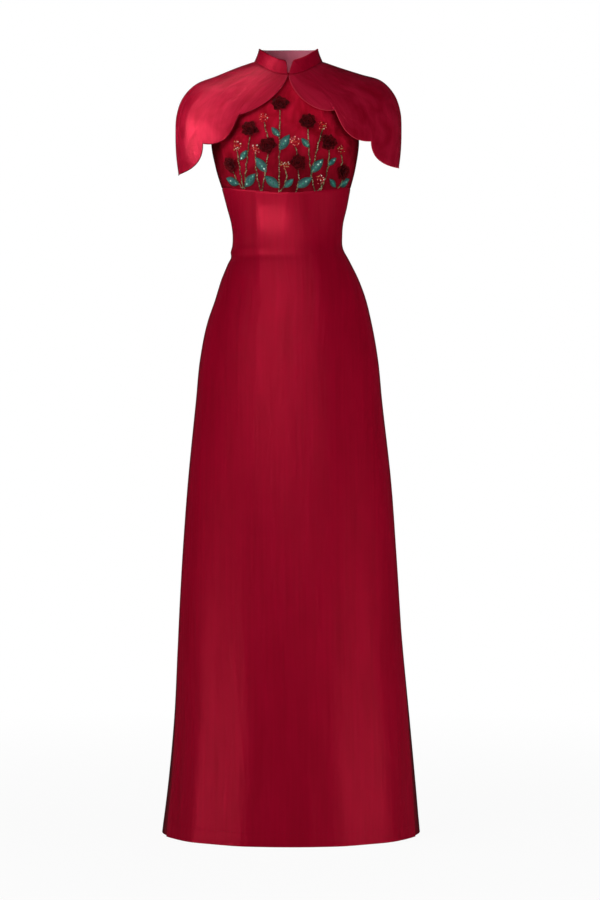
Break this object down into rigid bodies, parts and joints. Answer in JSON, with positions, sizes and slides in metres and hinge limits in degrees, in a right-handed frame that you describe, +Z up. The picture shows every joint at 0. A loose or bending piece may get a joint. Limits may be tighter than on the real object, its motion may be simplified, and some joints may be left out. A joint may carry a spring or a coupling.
{
  "type": "ao dai",
  "caption": "Floor-length side-slit dress filled out as worn, with a notched stand collar, a scalloped shoulder cape and an embroidered yoke.",
  "frame": {"origin": "middle of the neck base, where the wearer's neck and shoulders carry the dress", "axes": "+Z up, -Y the front, +X the viewer's right"},
  "size_m": [0.4958, 0.446, 1.509],
  "materials": {
    "satin": "red silk satin with a soft sheen",
    "yoke": "dull red cloth under a fine net",
    "lining": "mauve pink lining",
    "rose": "dark wine velvet applique",
    "leaf": "teal leaf worked in sequins"
  },
  "bodies": {
    "root": {"collar_left": "satin", "collar_right": "satin", "collar_lining_left": "lining", "collar_lining_right": "lining", "cape_front_left": "satin", "cape_front_right": "satin", "cape_back_left": "satin", "cape_back_right": "satin", "front_yoke": "yoke", "back_yoke_left": "yoke", "back_yoke_right": "yoke", "front_panel": "satin", "back_panel_left": "satin", "back_panel_right": "satin", "rose_1": "rose", "rose_2": "rose", "rose_3": "rose", "rose_4": "rose", "rose_5": "rose", "rose_6": "rose", "rose_7": "rose", "rose_8": "rose", "leaf_1": "leaf", "leaf_2": "leaf", "leaf_3": "leaf", "leaf_4": "leaf", "leaf_5": "leaf", "leaf_6": "leaf", "leaf_7": "leaf", "leaf_8": "leaf"}
  },
  "joints": []
}
